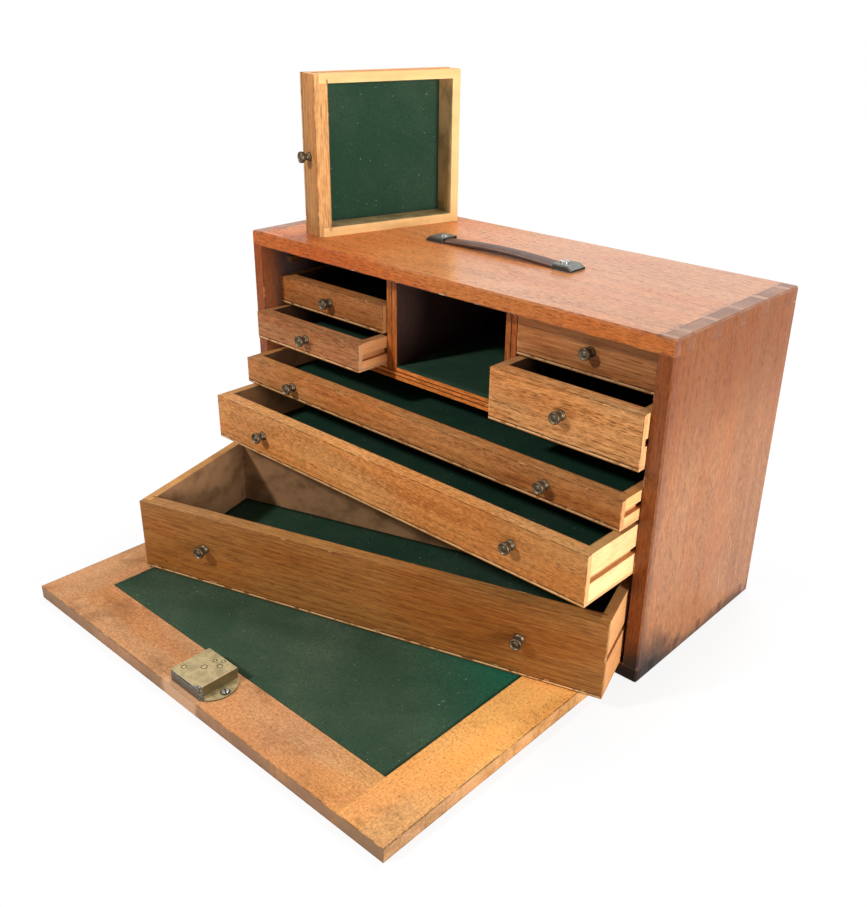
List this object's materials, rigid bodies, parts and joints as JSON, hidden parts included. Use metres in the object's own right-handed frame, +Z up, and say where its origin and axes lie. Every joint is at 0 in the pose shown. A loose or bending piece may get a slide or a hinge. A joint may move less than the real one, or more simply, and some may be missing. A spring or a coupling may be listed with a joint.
{
  "type": "engineers tool chest",
  "caption": "Oak engineers' tool chest with felt-lined drawers part open, one drawer loose on top, a leather carrying strap and its framed locking front panel laid in front.",
  "frame": {"origin": "middle of the underside of the chest", "axes": "+Z up, -Y towards the open front, +X to the right seen from the front"},
  "size_m": [0.508, 0.499, 0.4749],
  "materials": {
    "carcass_oak": "aged shellac varnish",
    "drawer_front_oak": "varnished",
    "pale_oak": "bare, smooth",
    "lid_oak": "thinly varnished, worn",
    "thin_ply": "bare sheet",
    "green_felt": "wool baize",
    "bronze": "dull oxidised bronze",
    "bare_steel": "worn steel",
    "dark_steel": "dark tarnished steel",
    "lock_brass": "dull brass-plated steel",
    "brown_leather": "dark worn leather"
  },
  "bodies": {
    "root": {"top_board": "carcass_oak", "bottom_board": "carcass_oak", "left_side": "carcass_oak", "right_side": "carcass_oak", "back_panel": "thin_ply", "shelf": "carcass_oak", "dividers": "carcass_oak", "runners": "pale_oak", "compartment_lining": "green_felt", "strike_plate": "bare_steel", "handle_strap": "brown_leather", "handle_caps": "dark_steel", "handle_screws": "dark_steel"},
    "bottom_drawer": {"bottom_drawer_front": "drawer_front_oak", "bottom_drawer_box": "pale_oak", "bottom_drawer_base": "thin_ply", "bottom_drawer_lining": "green_felt", "bottom_drawer_knobs": "bronze"},
    "middle_drawer": {"middle_drawer_front": "drawer_front_oak", "middle_drawer_box": "pale_oak", "middle_drawer_base": "thin_ply", "middle_drawer_lining": "green_felt", "middle_drawer_knobs": "bronze"},
    "thin_drawer": {"thin_drawer_front": "drawer_front_oak", "thin_drawer_box": "pale_oak", "thin_drawer_base": "thin_ply", "thin_drawer_lining": "green_felt", "thin_drawer_knobs": "bronze"},
    "left_lower_drawer": {"left_lower_drawer_front": "drawer_front_oak", "left_lower_drawer_box": "pale_oak", "left_lower_drawer_base": "thin_ply", "left_lower_drawer_lining": "green_felt", "left_lower_drawer_knobs": "bronze"},
    "left_upper_drawer": {"left_upper_drawer_front": "drawer_front_oak", "left_upper_drawer_box": "pale_oak", "left_upper_drawer_base": "thin_ply", "left_upper_drawer_lining": "green_felt", "left_upper_drawer_knobs": "bronze"},
    "right_lower_drawer": {"right_lower_drawer_front": "drawer_front_oak", "right_lower_drawer_box": "pale_oak", "right_lower_drawer_base": "thin_ply", "right_lower_drawer_lining": "green_felt", "right_lower_drawer_knobs": "bronze"},
    "right_upper_drawer": {"right_upper_drawer_front": "drawer_front_oak", "right_upper_drawer_box": "pale_oak", "right_upper_drawer_base": "thin_ply", "right_upper_drawer_lining": "green_felt", "right_upper_drawer_knobs": "bronze"},
    "loose_drawer": {"loose_drawer_front": "drawer_front_oak", "loose_drawer_box": "pale_oak", "loose_drawer_base": "thin_ply", "loose_drawer_lining": "green_felt", "loose_drawer_knobs": "bronze"},
    "lid": {"lid_frame": "lid_oak", "lid_panel": "lid_oak", "lid_lining": "green_felt", "locating_studs": "bare_steel", "lock_case": "lock_brass"},
    "bolt": {"lock_bolt": "bare_steel"}
  },
  "joints": [
    {"name": "middle_drawer_slide", "type": "slide", "parent": "root", "child": "middle_drawer", "axis": [0, -1, 0], "range_m": [-0.099, 0.051]},
    {"name": "thin_drawer_slide", "type": "slide", "parent": "root", "child": "thin_drawer", "axis": [0, -1, 0], "range_m": [-0.0566, 0.0934]},
    {"name": "left_lower_drawer_slide", "type": "slide", "parent": "root", "child": "left_lower_drawer", "axis": [0, -1, 0], "range_m": [-0.0393, 0.1107]},
    {"name": "left_upper_drawer_slide", "type": "slide", "parent": "root", "child": "left_upper_drawer", "axis": [0, -1, 0], "range_m": [-0.0052, 0.1448]},
    {"name": "right_lower_drawer_slide", "type": "slide", "parent": "root", "child": "right_lower_drawer", "axis": [0, -1, 0], "range_m": [-0.0367, 0.1133]},
    {"name": "right_upper_drawer_slide", "type": "slide", "parent": "root", "child": "right_upper_drawer", "axis": [0, -1, 0], "range_m": [0, 0.15]},
    {"name": "bottom_drawer_slide", "type": "slide", "parent": "root", "child": "bottom_drawer", "axis": [0.3024, -0.9532, 0], "range_m": [-0.015, 0.09]},
    {"name": "loose_drawer_lift", "type": "slide", "parent": "root", "child": "loose_drawer", "axis": [0, 0, 1], "range_m": [0, 0.1]},
    {"name": "lid_slide", "type": "slide", "parent": "root", "child": "lid", "axis": [0, -1, 0], "range_m": [0, 0.08]},
    {"name": "lock_bolt_slide", "type": "slide", "parent": "lid", "child": "bolt", "axis": [0, -1, 0], "range_m": [0, 0.01]}
  ]
}
